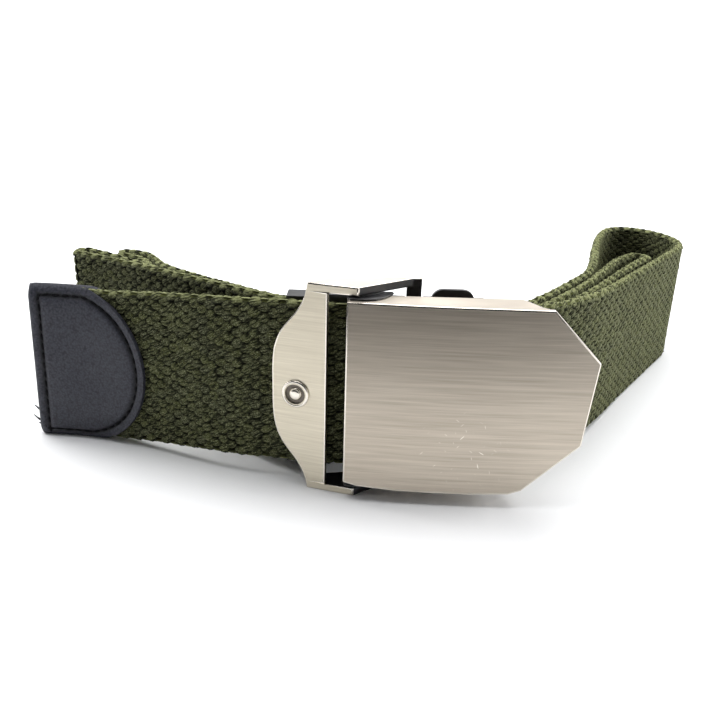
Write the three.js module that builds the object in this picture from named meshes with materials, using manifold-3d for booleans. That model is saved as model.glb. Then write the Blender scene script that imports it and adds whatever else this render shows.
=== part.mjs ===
// Military web belt, fastened in its flip-top plate buckle, folded and standing on its edge.
// Millimetres. While it is laid out, x runs along the buckle's face, y runs to the back, z is up,
// and the surface that the belt stands on is z = 0. The finished group is centred on its own box.
import * as THREE from "three";
import { mergeVertices } from "three/addons/utils/BufferGeometryUtils.js";
import Module from "manifold-3d";

const wasm = await Module();
wasm.setup();

// Webbing: a thick canvas band with slightly rounded edges
const WEB_WIDTH = 38;
const WEB_THICKNESS = 2.7;
const WEB_EDGE = 0.7;
const WEB_TURN_STEP = THREE.MathUtils.degToRad(9);
const WEB_MAX_STEPS = 8;
const FOLD_STEPS = 4;

// Height of the buckle, which lifts the webbing that runs through it
const BUCKLE_HEIGHT = 47.8;
const BUCKLE_MIDDLE = BUCKLE_HEIGHT / 2;
const LIFT = BUCKLE_MIDDLE - WEB_WIDTH / 2 - 0.4;
const CLAMP_LIFT = 3.9;
const GAP = 0.3;

// The webbing's route in plan, from the end in the clamp to the free end.
// A row with r is a fold, an arc about x, y that runs from one bearing to another in degrees.
const ROUTE = [
  { place: "clamp", x: -8.8, y: 9.2, lift: CLAMP_LIFT },
  { place: "clamp", x: -12.6, y: 9.2, lift: CLAMP_LIFT },
  { place: "clamp mouth", x: -16.6, y: 9.25, lift: CLAMP_LIFT },
  { place: "front run", x: -20.2, y: 11.1, lift: CLAMP_LIFT },
  { place: "front run", x: -25.0, y: 14.6, lift: 3.8 },
  { place: "front run", x: -38.2, y: 24.4, lift: 3.5 },
  { place: "front run", x: -55.0, y: 37.4, lift: 2.9 },
  { place: "front run", x: -67.5, y: 46.9, lift: 2.4 },
  { place: "front fold", x: -77.0, y: 54.9, lift: 2.2, r: 1.65, from: 236, to: 56 },
  { place: "second run", x: -65.4, y: 49.6, lift: 1.9 },
  { place: "second run", x: -53.1, y: 40.1, lift: 1.5 },
  { place: "second run", x: -36.2, y: 27.2, lift: 0.9 },
  { place: "second run", x: -24.4, y: 18.6, lift: 0.5 },
  { place: "second run", x: -16.5, y: 14.9, lift: 0.2 },
  { place: "second run", x: -7.0, y: 13.9, lift: 0 },
  { place: "second run", x: 6.0, y: 11.6, lift: 0 },
  { place: "second run", x: 18.0, y: 9.8, lift: 0 },
  { place: "second run", x: 27.0, y: 9.0, lift: 0 },
  { place: "second run", x: 33.6, y: 10.2, lift: 0 },
  { place: "second run", x: 39.2, y: 13.8, lift: 0 },
  { place: "second run", x: 46.0, y: 21.4, lift: 0 },
  { place: "second run", x: 53.5, y: 30.6, lift: 0 },
  { place: "second run", x: 62.7, y: 43.4, lift: 0 },
  { place: "second run", x: 72.2, y: 58.0, lift: 0 },
  { place: "second run", x: 82.2, y: 72.6, lift: 0 },
  { place: "inner loop", x: 84.4, y: 79.4, lift: 0, r: 2.6, from: -20, to: 130 },
  { place: "third run", x: 76.6, y: 74.4, lift: 0 },
  { place: "third run", x: 68.2, y: 60.0, lift: 0 },
  { place: "third run", x: 59.6, y: 45.6, lift: 0 },
  { place: "third run", x: 50.3, y: 32.4, lift: 0 },
  { place: "third run", x: 42.9, y: 23.0, lift: 0 },
  { place: "third run", x: 36.8, y: 16.6, lift: 0 },
  { place: "third run", x: 31.4, y: 13.2, lift: 0 },
  { place: "third run", x: 25.0, y: 12.2, lift: 0 },
  { place: "third run", x: 16.0, y: 13.2, lift: 0 },
  { place: "third run", x: 4.0, y: 15.2, lift: 0 },
  { place: "third run", x: -8.0, y: 17.2, lift: 0 },
  { place: "third run", x: -17.4, y: 18.9, lift: 0 },
  { place: "third run", x: -24.4, y: 22.4, lift: 0 },
  { place: "third run", x: -35.4, y: 30.6, lift: 0 },
  { place: "third run", x: -51.0, y: 42.8, lift: 0 },
  { place: "third run", x: -58.0, y: 50.4, lift: 0 },
  { place: "third run", x: -62.3, y: 57.9, lift: 0 },
  { place: "back fold", x: -68.0, y: 63.9, lift: 0, r: 1.65, from: 245, to: 65 },
  { place: "fourth run", x: -62.2, y: 63.0, lift: 0 },
  { place: "fourth run", x: -58.2, y: 57.4, lift: 0 },
  { place: "fourth run", x: -54.6, y: 51.2, lift: 0 },
  { place: "fourth run", x: -48.6, y: 44.9, lift: 0 },
  { place: "fourth run", x: -33.4, y: 33.0, lift: 0 },
  { place: "fourth run", x: -22.8, y: 25.2, lift: 0 },
  { place: "fourth run", x: -16.0, y: 21.9, lift: 0 },
  { place: "fourth run", x: -6.8, y: 20.1, lift: 0 },
  { place: "fourth run", x: 4.6, y: 18.2, lift: 0 },
  { place: "fourth run", x: 16.4, y: 16.3, lift: 0 },
  { place: "fourth run", x: 25.0, y: 15.3, lift: 0 },
  { place: "fourth run", x: 30.2, y: 16.2, lift: 0 },
  { place: "fourth run", x: 34.6, y: 19.0, lift: 0 },
  { place: "fourth run", x: 40.2, y: 25.0, lift: 0 },
  { place: "fourth run", x: 47.6, y: 34.4, lift: 0 },
  { place: "fourth run", x: 56.6, y: 47.4, lift: 0 },
  { place: "fourth run", x: 63.0, y: 57.4, lift: 0 },
  { place: "fourth run", x: 68.0, y: 69.6, lift: 0 },
  { place: "fourth run", x: 72.8, y: 85.0, lift: 0 },
  { place: "fourth run", x: 82.0, y: 111.4, lift: 0 },
  { place: "outer loop", x: 86.0, y: 119.6, lift: 0 },
  { place: "outer loop", x: 90.6, y: 124.6, lift: 0 },
  { place: "outer loop", x: 97.0, y: 125.0, lift: 0 },
  { place: "outer loop", x: 102.6, y: 120.4, lift: 0 },
  { place: "outer loop", x: 105.6, y: 112.0, lift: 0 },
  { place: "outer loop", x: 106.0, y: 103.6, lift: 0 },
  { place: "outer loop", x: 103.0, y: 95.6, lift: 0 },
  { place: "last run", x: 95.6, y: 84.8, lift: 0 },
  { place: "last run", x: 86.0, y: 71.2, lift: 0 },
  { place: "last run", x: 75.2, y: 55.8, lift: 0.2 },
  { place: "last run", x: 65.6, y: 41.2, lift: 0.8 },
  { place: "last run", x: 56.4, y: 27.8, lift: 1.8 },
  { place: "last run", x: 48.9, y: 18.4, lift: 2.8 },
  { place: "last run", x: 41.8, y: 10.6, lift: 3.8 },
  { place: "last run", x: 35.0, y: 5.8, lift: LIFT },
  { place: "under the lid", x: 25.0, y: 3.5, lift: LIFT },
  { place: "under the lid", x: 14.0, y: 3.4, lift: LIFT },
  { place: "under the lid", x: 0.0, y: 3.4, lift: LIFT },
  { place: "window", x: -7.0, y: 3.5, lift: LIFT },
  { place: "behind the bar", x: -12.6, y: 4.3, lift: LIFT },
  { place: "behind the bar", x: -18.4, y: 5.4, lift: LIFT },
  { place: "free run", x: -24.6, y: 6.5, lift: 4.2 },
  { place: "free run", x: -31.4, y: 8.6, lift: 3.8 },
  { place: "free run", x: -39.6, y: 12.0, lift: 3.0 },
  { place: "free run", x: -48.5, y: 15.9, lift: 2.0 },
  { place: "tip", x: -56.5, y: 19.2, lift: 1.0 },
  { place: "tip", x: -64.5, y: 21.7, lift: 0.6 },
  { place: "tip", x: -71.5, y: 22.8, lift: 0.5 },
  { place: "free end", x: -77.2, y: 23.1, lift: 0.5 },
];

// Leather tip: two D-shaped faces joined round the strap's end
const TIP_LENGTH = 30.5;
const TIP_STRAIGHT = 15.5;
const TIP_HEIGHT = 39;
const TIP_WALL = 0.9;
const TIP_RIM = 0.3;
// How far the fold stands past the strap's end, and how far it leans: out at its foot, in at its top
const TIP_PAST = 2.25;
const TIP_LEAN = 0.65;
const TIP_CLEARANCE = 0.2;
const TIP_EDGE = 0.7;
const TIP_STEPS = 26;
const TIP_LAST_STEP = 0.05;
const POCKET_STEPS = 20;
const POCKET_EDGE = 0.2;
// How far a cutting shape runs past what it cuts
const CUT_PAST = 1;

// Buckle frame: its front bar stands at a small angle to the lid
const BAR_CORNER = { x: -11.2, y: -0.4 };
const BAR_ANGLE = THREE.MathUtils.degToRad(-16.4);
const BAR_THICKNESS = 1.4;
const BAR_REACH = 10.9;
const BAR_CURVE_STEPS = 36;
const WINDOW_LEFT = 4.3;
const WALL_THICKNESS = 1.8;
// Half of the bar's left outline: how far it swells at each height above the middle
const BAR_OUTLINE = [
  { above: 23.9, swell: 0 },
  { above: 20.6, swell: 0.8 },
  { above: 17.2, swell: 2.7 },
  { above: 14.0, swell: 5.3 },
  { above: 10.6, swell: 7.1 },
  { above: 5.6, swell: 8.0 },
];
const WALL_OUTLINE = [
  { corner: "front left", x: -11.2, y: -0.4 },
  { corner: "front right", x: -0.74, y: -3.48 },
  { corner: "back right", x: 12.8, y: 6.9 },
  { corner: "back left", x: -7.2, y: 3.4 },
];
const TAB = { left: 9.4, right: 12.6, front: 5.3, back: 6.6, reach: 4.4 };

// Generic round boss on the bar
const BOSS = { along: -2.6, height: 22.7, radius: 3, rise: 0.5, ringWidth: 0.7, dotRadius: 1.2, sides: 32, sink: 0.2 };

// Lid: plate, flanges and the pin that it turns on
const LID_TOP = 45.3;
const LID_BOTTOM = 3.2;
const LID_THICKNESS = 1.4;
const LID_FLANGE = 1.4;
const LID_BOW = 0.8;
const LID_OUTLINE = [
  { corner: "top left", x: -3.0, z: LID_TOP },
  { corner: "top right", x: 38.3, z: LID_TOP },
  { corner: "right top", x: 48.9, z: 34.3 },
  { corner: "right bottom", x: 47.2, z: 15.7 },
  { corner: "bottom right", x: 35.6, z: 4.6 },
  { corner: "bottom right, rounded", x: 32.8, z: 3.6 },
  { corner: "bottom", x: 24.0, z: LID_BOTTOM },
  { corner: "bottom", x: 9.0, z: LID_BOTTOM },
  { corner: "bottom left, rounded", x: 0.0, z: 3.8 },
  { corner: "bottom left", x: -3.0, z: 4.6 },
];
const LID_FACE = { left: -3.0, leftY: -5.5, right: 48.9, rightY: -6.7 };
const LID_BOW_STEPS = 14;
const LID_PRISM_DEPTH = 20;
const FLANGE_OUTLINE = [
  { corner: "left back", x: -3.0, y: -1.4 },
  { corner: "ear", x: -2.4, y: 0.0 },
  { corner: "ear", x: -1.2, y: 0.5 },
  { corner: "back", x: 6.0, y: 0.5 },
  { corner: "back right", x: 33.4, y: 0.9 },
  { corner: "right", x: 36.2, y: -4.4 },
  { corner: "tip", x: 38.2, y: -6.2 },
];
const FLANGE_FRONT_STEPS = 8;
const FLANGE_INSET = 0.2;
const PIN_AXIS = { x: -1.2, y: -1.4 };
const PIN_RADIUS = 0.8;
const PIN_SIDES = 24;
const PIN_SINK = 1.1;
const CAM_RADIUS = 1.9;
const CAM_LOBE = { reach: 3.05, halfWidth: 0.7 };
const CAM_ARM = { right: 5.2, front: -3.6, back: 0.2 };
const CAM_CLEARANCE = 0.4;

// Black base behind the strap, with its ears and its clamp
const BASE = { left: -7.9, right: 26, front: 5.1, thickness: 1.1, top: 43.8 };
const EAR = { left: 14.6, right: 24.0, top: 45.6, corner: 2.6, cornerSteps: 5 };
const CLAMP = { left: -16.3, right: -8.2, wall: 1.0, rim: 0.6 };

const COLOURS = {
  webbing: { color: 0x4a5433, roughness: 0.95, metalness: 0 },
  leather: { color: 0x35343c, roughness: 0.6, metalness: 0 },
  frame: { color: 0xc8c0b4, roughness: 0.35, metalness: 1 },
  cover: { color: 0xa39c92, roughness: 0.38, metalness: 1 },
  black: { color: 0x1c1b1e, roughness: 0.4, metalness: 0.6 },
};

function toSolid(geometry) {
  const bare = geometry.clone();
  bare.deleteAttribute("normal");
  bare.deleteAttribute("uv");
  const merged = mergeVertices(bare, 1e-4);
  return new wasm.Manifold(new wasm.Mesh({
    numProp: 3,
    vertProperties: new Float32Array(merged.attributes.position.array),
    triVerts: new Uint32Array(merged.index.array),
  }));
}

function toGeometry(solid) {
  const mesh = solid.getMesh();
  const geometry = new THREE.BufferGeometry();
  geometry.setAttribute("position", new THREE.BufferAttribute(new Float32Array(mesh.vertProperties), 3));
  geometry.setIndex(new THREE.BufferAttribute(new Uint32Array(mesh.triVerts), 1));
  geometry.computeVertexNormals();
  return geometry;
}

function makeMesh(name, geometry, look) {
  const mesh = new THREE.Mesh(geometry, new THREE.MeshStandardMaterial(look));
  mesh.name = name;
  return mesh;
}

// A plan outline of {x, y} corners raised from z = low to z = high
function plate(outline, low, high) {
  const shape = new THREE.Shape(outline.map((corner) => new THREE.Vector2(corner.x, corner.y)));
  const geometry = new THREE.ExtrudeGeometry(shape, { depth: high - low, bevelEnabled: false });
  geometry.translate(0, 0, low);
  return toSolid(geometry);
}

function box(x0, x1, y0, y1, z0, z1) {
  return plate([{ x: x0, y: y0 }, { x: x1, y: y0 }, { x: x1, y: y1 }, { x: x0, y: y1 }], z0, z1);
}

// An upright round bar about a point in plan
function upright(axis, radius, low, high, sides) {
  const geometry = new THREE.CylinderGeometry(radius, radius, high - low, sides);
  geometry.rotateX(Math.PI / 2);
  geometry.translate(axis.x, axis.y, (low + high) / 2);
  return toSolid(geometry);
}

// The route's table as points, with the folds drawn out as arcs
function routePoints() {
  const points = [];
  for (const row of ROUTE) {
    if (row.r === undefined) {
      points.push(new THREE.Vector3(row.x, row.y, row.lift));
      continue;
    }
    for (let i = 0; i <= FOLD_STEPS; i++) {
      const bearing = THREE.MathUtils.degToRad(row.from + ((row.to - row.from) * i) / FOLD_STEPS);
      const x = row.x + row.r * Math.cos(bearing);
      const y = row.y + row.r * Math.sin(bearing);
      points.push(new THREE.Vector3(x, y, row.lift));
    }
  }
  return points;
}

// Stations along the smooth route, closer together where it turns
function routeStations() {
  const points = routePoints();
  const curve = new THREE.CatmullRomCurve3(points, false, "centripetal");
  const spans = points.length - 1;
  const stations = [];
  for (let span = 0; span < spans; span++) {
    const before = curve.getTangent(span / spans);
    const after = curve.getTangent((span + 1) / spans);
    const turn = before.angleTo(after);
    const steps = Math.min(WEB_MAX_STEPS, Math.max(1, Math.ceil(turn / WEB_TURN_STEP)));
    for (let i = 0; i < steps; i++) {
      stations.push((span + i / steps) / spans);
    }
  }
  stations.push(1);
  return stations.map((t) => {
    const tangent = curve.getTangent(t).setZ(0).normalize();
    const side = new THREE.Vector2(-tangent.y, tangent.x);
    return { at: curve.getPoint(t), side };
  });
}

// A closed band from rings of {offset, z} corners, one ring at each station. A corner may be shifted along the band
function band(stations, ringAt) {
  const vertices = [];
  const faces = [];
  const corners = ringAt(stations[0], 0).length;
  stations.forEach((station, i) => {
    for (const { offset, z, shift = 0 } of ringAt(station, i)) {
      vertices.push(station.at.x + station.side.x * offset + station.side.y * shift);
      vertices.push(station.at.y + station.side.y * offset - station.side.x * shift);
      vertices.push(z);
    }
  });
  for (let i = 0; i < stations.length - 1; i++) {
    for (let k = 0; k < corners; k++) {
      const a = i * corners + k;
      const b = i * corners + ((k + 1) % corners);
      faces.push(a, b + corners, b, a, a + corners, b + corners);
    }
  }
  const last = (stations.length - 1) * corners;
  for (let k = 1; k < corners - 1; k++) {
    faces.push(0, k, k + 1);
    faces.push(last, last + k + 1, last + k);
  }
  const geometry = new THREE.BufferGeometry();
  geometry.setAttribute("position", new THREE.Float32BufferAttribute(vertices, 3));
  geometry.setIndex(faces);
  geometry.computeVertexNormals();
  return geometry;
}

// Corners of an upright band section with its long edges chamfered
function section(halfThickness, low, high, edge) {
  return [
    { offset: -halfThickness, z: low + edge },
    { offset: -halfThickness, z: high - edge },
    { offset: -halfThickness + edge, z: high },
    { offset: halfThickness - edge, z: high },
    { offset: halfThickness, z: high - edge },
    { offset: halfThickness, z: low + edge },
    { offset: halfThickness - edge, z: low },
    { offset: -halfThickness + edge, z: low },
  ];
}

function makeWebbing(stations) {
  return band(stations, (station) => {
    const low = station.at.z;
    return section(WEB_THICKNESS / 2, low, low + WEB_WIDTH, WEB_EDGE);
  });
}

// A point on the route at a distance back from the free end, or past it
function stationFromEnd(stations, distance) {
  const last = stations[stations.length - 1];
  const along = new THREE.Vector2(last.side.y, -last.side.x);
  if (distance <= 0) {
    const at = last.at.clone();
    at.x -= along.x * distance;
    at.y -= along.y * distance;
    return { at, side: last.side };
  }
  let walked = 0;
  for (let i = stations.length - 1; i > 0; i--) {
    const step = Math.hypot(
      stations[i].at.x - stations[i - 1].at.x,
      stations[i].at.y - stations[i - 1].at.y,
    );
    if (walked + step >= distance) {
      const share = (distance - walked) / step;
      const at = stations[i].at.clone().lerp(stations[i - 1].at, share);
      const side = stations[i].side.clone().lerp(stations[i - 1].side, share).normalize();
      return { at, side };
    }
    walked += step;
  }
  return stations[0];
}

// Half the height of the D at a distance from its straight end
function tipHalfHeight(distance) {
  const half = TIP_HEIGHT / 2;
  if (distance <= TIP_STRAIGHT) {
    return half;
  }
  const sagitta = TIP_LENGTH - TIP_STRAIGHT;
  const radius = (half * half + sagitta * sagitta) / (2 * sagitta);
  const past = distance - (TIP_LENGTH - radius);
  return Math.sqrt(Math.max(radius * radius - past * past, 0));
}

// A section of the tip, its corners shifted by the fold's lean, which fades out towards the D's curve
function tipSection(halfThickness, low, high, edge, distance) {
  const fade = Math.max(1 - distance / TIP_STRAIGHT, 0);
  return section(halfThickness, low, high, edge).map((corner) => (
    { ...corner, shift: TIP_LEAN * fade * (1 - corner.z / (TIP_HEIGHT / 2)) }
  ));
}

function makeTip(stations) {
  const outerStations = [];
  const distances = [];
  for (let i = TIP_STEPS; i >= 0; i--) {
    const share = Math.sin((i / TIP_STEPS) * (Math.PI / 2));
    const distance = share * (TIP_LENGTH - TIP_LAST_STEP);
    distances.push(distance);
    outerStations.push(stationFromEnd(stations, distance - TIP_PAST));
  }
  const halfOuter = WEB_THICKNESS / 2 + TIP_CLEARANCE + TIP_WALL;
  const middle = TIP_HEIGHT / 2;
  const outer = toSolid(band(outerStations, (station, i) => {
    const half = tipHalfHeight(distances[i]);
    const edge = TIP_EDGE * Math.min(1, half / 2);
    return tipSection(halfOuter, middle - half, middle + half, edge, distances[i]);
  }));
  const pocketStations = [];
  const reaches = [];
  for (let i = POCKET_STEPS; i >= 0; i--) {
    const reach = TIP_WALL + ((TIP_LENGTH + CUT_PAST) * i) / POCKET_STEPS;
    reaches.push(reach);
    pocketStations.push(stationFromEnd(stations, reach - TIP_PAST));
  }
  const pocket = toSolid(band(pocketStations, (station, i) =>
    tipSection(WEB_THICKNESS / 2 + TIP_CLEARANCE, TIP_RIM, TIP_HEIGHT - TIP_RIM, POCKET_EDGE, reaches[i])));
  return toGeometry(outer.subtract(pocket));
}

// The bar's outline, with the swell mirrored about the middle and the window cut out
function barShape() {
  const upper = BAR_OUTLINE.map((row) => new THREE.Vector2(-row.swell, BUCKLE_MIDDLE + row.above));
  const lower = BAR_OUTLINE.map((row) => new THREE.Vector2(-row.swell, BUCKLE_MIDDLE - row.above));
  const swell = new THREE.SplineCurve([...upper, ...lower.reverse()]).getPoints(BAR_CURVE_STEPS);
  const shape = new THREE.Shape([
    ...swell,
    new THREE.Vector2(BAR_REACH, 0),
    new THREE.Vector2(BAR_REACH, WALL_THICKNESS),
    new THREE.Vector2(WINDOW_LEFT, WALL_THICKNESS),
    new THREE.Vector2(WINDOW_LEFT, BUCKLE_HEIGHT - WALL_THICKNESS),
    new THREE.Vector2(BAR_REACH, BUCKLE_HEIGHT - WALL_THICKNESS),
    new THREE.Vector2(BAR_REACH, BUCKLE_HEIGHT),
  ]);
  return shape;
}

// Stands a shape drawn in the bar's own plane up at the bar's place and angle
function placeOnBar(geometry) {
  geometry.rotateX(Math.PI / 2);
  geometry.rotateZ(BAR_ANGLE);
  geometry.translate(BAR_CORNER.x, BAR_CORNER.y, 0);
  return toSolid(geometry);
}

function barPlate() {
  const geometry = new THREE.ExtrudeGeometry(barShape(), { depth: BAR_THICKNESS, bevelEnabled: false });
  geometry.translate(0, 0, -BAR_THICKNESS);
  return placeOnBar(geometry);
}

function bossDisc(radius, rise) {
  const geometry = new THREE.CylinderGeometry(radius, radius, rise + BOSS.sink, BOSS.sides);
  geometry.rotateX(Math.PI / 2);
  geometry.translate(BOSS.along, BOSS.height, (rise - BOSS.sink) / 2);
  return placeOnBar(geometry);
}

function makeFrame() {
  let frame = barPlate();
  const walls = [[0, WALL_THICKNESS], [BUCKLE_HEIGHT - WALL_THICKNESS, BUCKLE_HEIGHT]];
  for (const [low, high] of walls) {
    frame = frame.add(plate(WALL_OUTLINE, low, high));
  }
  const tabs = [[0, TAB.reach], [BUCKLE_HEIGHT - TAB.reach, BUCKLE_HEIGHT]];
  for (const [low, high] of tabs) {
    frame = frame.add(box(TAB.left, TAB.right, TAB.front, TAB.back, low, high));
  }
  const ring = bossDisc(BOSS.radius, BOSS.rise).subtract(bossDisc(BOSS.radius - BOSS.ringWidth, BOSS.rise + CUT_PAST));
  frame = frame.add(ring).add(bossDisc(BOSS.dotRadius, BOSS.rise));
  const pinHole = upright(
    PIN_AXIS, PIN_RADIUS + GAP, WALL_THICKNESS - PIN_SINK - GAP,
    BUCKLE_HEIGHT - WALL_THICKNESS + PIN_SINK + GAP, PIN_SIDES,
  );
  return toGeometry(frame.subtract(pinHole));
}

// The lid's gently bowed face in plan
function lidFaceY(x) {
  const share = (x - LID_FACE.left) / (LID_FACE.right - LID_FACE.left);
  const straight = LID_FACE.leftY + (LID_FACE.rightY - LID_FACE.leftY) * share;
  const bulge = 1 - (2 * share - 1) ** 2;
  return straight - LID_BOW * bulge;
}

function lidFront(from, to, steps, inset) {
  const points = [];
  for (let i = 0; i <= steps; i++) {
    const x = from + ((to - from) * i) / steps;
    points.push({ x, y: lidFaceY(x) + inset });
  }
  return points;
}

function makeCover() {
  const front = lidFront(LID_FACE.left - CUT_PAST, LID_FACE.right + CUT_PAST, LID_BOW_STEPS, 0);
  const back = lidFront(LID_FACE.right + CUT_PAST, LID_FACE.left - CUT_PAST, LID_BOW_STEPS, LID_THICKNESS);
  const slab = plate([...front, ...back], 0, BUCKLE_HEIGHT);
  const outline = new THREE.Shape(LID_OUTLINE.map((corner) => new THREE.Vector2(corner.x, corner.z)));
  const prism = new THREE.ExtrudeGeometry(outline, { depth: LID_PRISM_DEPTH, bevelEnabled: false });
  prism.rotateX(Math.PI / 2);
  prism.translate(0, LID_PRISM_DEPTH / 2, 0);
  const profile = toSolid(prism);
  const last = FLANGE_OUTLINE[FLANGE_OUTLINE.length - 1];
  const flangeFront = lidFront(LID_FACE.left, last.x - FLANGE_INSET, FLANGE_FRONT_STEPS, FLANGE_INSET);
  const flangeOutline = [...flangeFront, ...[...FLANGE_OUTLINE].reverse()];
  const topFlange = plate(flangeOutline, LID_TOP - LID_FLANGE, LID_TOP);
  const bottomFlange = plate(flangeOutline, LID_BOTTOM, LID_BOTTOM + LID_FLANGE);
  const bore = upright(PIN_AXIS, PIN_RADIUS + GAP, 0, BUCKLE_HEIGHT, PIN_SIDES);
  const flanges = topFlange.add(bottomFlange).intersect(profile);
  return toGeometry(slab.intersect(profile).add(flanges).subtract(bore));
}

// The cam turns on the same pin, between the lid's flanges, and its lobe presses towards the strap
function makeCam() {
  const low = LID_BOTTOM + LID_FLANGE + CAM_CLEARANCE;
  const high = LID_TOP - LID_FLANGE - CAM_CLEARANCE;
  const barrel = upright(PIN_AXIS, CAM_RADIUS, low, high, PIN_SIDES);
  const lobe = box(
    PIN_AXIS.x - CAM_LOBE.halfWidth, PIN_AXIS.x + CAM_LOBE.halfWidth,
    PIN_AXIS.y, PIN_AXIS.y + CAM_LOBE.reach, low, high,
  );
  const arm = box(PIN_AXIS.x, CAM_ARM.right, CAM_ARM.front, CAM_ARM.back, low, high);
  const bore = upright(PIN_AXIS, PIN_RADIUS + GAP, 0, BUCKLE_HEIGHT, PIN_SIDES);
  return toGeometry(barrel.add(lobe).add(arm).subtract(bore));
}

function makePin() {
  const low = WALL_THICKNESS - PIN_SINK;
  return toGeometry(upright(PIN_AXIS, PIN_RADIUS, low, BUCKLE_HEIGHT - low, PIN_SIDES));
}

// An ear's outline in x and z, with rounded shoulders, drawn downwards where up is -1
function earPlate(up) {
  const root = BUCKLE_MIDDLE;
  const tip = EAR.top - BUCKLE_MIDDLE;
  const points = [new THREE.Vector2(EAR.left, root)];
  for (const [centre, start] of [[EAR.left + EAR.corner, Math.PI], [EAR.right - EAR.corner, Math.PI / 2]]) {
    for (let i = 0; i <= EAR.cornerSteps; i++) {
      const bearing = start - ((Math.PI / 2) * i) / EAR.cornerSteps;
      const x = centre + EAR.corner * Math.cos(bearing);
      const rise = tip - EAR.corner + EAR.corner * Math.sin(bearing);
      points.push(new THREE.Vector2(x, root + up * rise));
    }
  }
  points.push(new THREE.Vector2(EAR.right, root));
  const geometry = new THREE.ExtrudeGeometry(new THREE.Shape(points), { depth: BASE.thickness, bevelEnabled: false });
  geometry.rotateX(Math.PI / 2);
  geometry.translate(0, BASE.front + BASE.thickness, 0);
  return toSolid(geometry);
}

function makeBase() {
  const back = BASE.front + BASE.thickness;
  const low = BUCKLE_HEIGHT - BASE.top;
  let base = box(BASE.left, BASE.right, BASE.front, back, low, BASE.top);
  base = base.add(earPlate(1)).add(earPlate(-1));
  const notches = [[BUCKLE_HEIGHT - TAB.reach - GAP, BUCKLE_HEIGHT], [0, TAB.reach + GAP]];
  for (const [from, to] of notches) {
    base = base.subtract(box(TAB.left - GAP, TAB.right + GAP, BASE.front - CUT_PAST, back + CUT_PAST, from, to));
  }
  return toGeometry(base);
}

function makeClamp() {
  const centre = ROUTE[0].y;
  const inner = WEB_THICKNESS / 2 + GAP;
  const low = CLAMP_LIFT - GAP;
  const high = CLAMP_LIFT + WEB_WIDTH + GAP;
  const outside = box(
    CLAMP.left, CLAMP.right, centre - inner - CLAMP.wall, centre + inner + CLAMP.wall,
    low - CLAMP.rim, high + CLAMP.rim,
  );
  const inside = box(CLAMP.left - CUT_PAST, CLAMP.right + CUT_PAST, centre - inner, centre + inner, low, high);
  return toGeometry(outside.subtract(inside));
}

const stations = routeStations();
const belt = new THREE.Group();
belt.add(makeMesh("webbing_strap", makeWebbing(stations), COLOURS.webbing));
belt.add(makeMesh("leather_tip", makeTip(stations), COLOURS.leather));
belt.add(makeMesh("buckle_frame", makeFrame(), COLOURS.frame));
belt.add(makeMesh("cover_plate", makeCover(), COLOURS.cover));
belt.add(makeMesh("cover_cam", makeCam(), COLOURS.black));
belt.add(makeMesh("hinge_pin", makePin(), COLOURS.frame));
belt.add(makeMesh("base_plate", makeBase(), COLOURS.black));
belt.add(makeMesh("end_clamp", makeClamp(), COLOURS.black));

// The origin is the middle of the box's bottom, on the surface that the belt stands on
const extent = new THREE.Box3().setFromObject(belt);
const middle = extent.getCenter(new THREE.Vector3());
belt.position.set(-middle.x, -middle.y, -extent.min.z);
belt.updateMatrixWorld(true);

export default belt;
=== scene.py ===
# Olive web belt in its flip-top plate buckle, folded and standing on its edge
import math

import bmesh
import bpy
from mathutils import Matrix, Vector


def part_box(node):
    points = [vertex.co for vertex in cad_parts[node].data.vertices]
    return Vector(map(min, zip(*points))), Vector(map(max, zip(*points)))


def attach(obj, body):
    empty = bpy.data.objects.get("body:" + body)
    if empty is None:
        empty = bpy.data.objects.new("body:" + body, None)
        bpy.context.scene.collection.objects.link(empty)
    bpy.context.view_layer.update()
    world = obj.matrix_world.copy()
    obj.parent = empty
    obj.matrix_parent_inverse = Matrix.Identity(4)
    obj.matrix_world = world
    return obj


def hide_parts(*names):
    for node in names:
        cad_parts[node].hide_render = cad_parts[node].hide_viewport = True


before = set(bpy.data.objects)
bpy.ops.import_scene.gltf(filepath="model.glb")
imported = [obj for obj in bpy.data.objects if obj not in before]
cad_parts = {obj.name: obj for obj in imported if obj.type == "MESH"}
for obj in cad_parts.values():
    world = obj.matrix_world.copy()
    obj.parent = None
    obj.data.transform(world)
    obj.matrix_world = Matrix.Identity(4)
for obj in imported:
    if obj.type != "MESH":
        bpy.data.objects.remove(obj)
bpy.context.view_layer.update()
millimetre = 0.001

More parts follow.
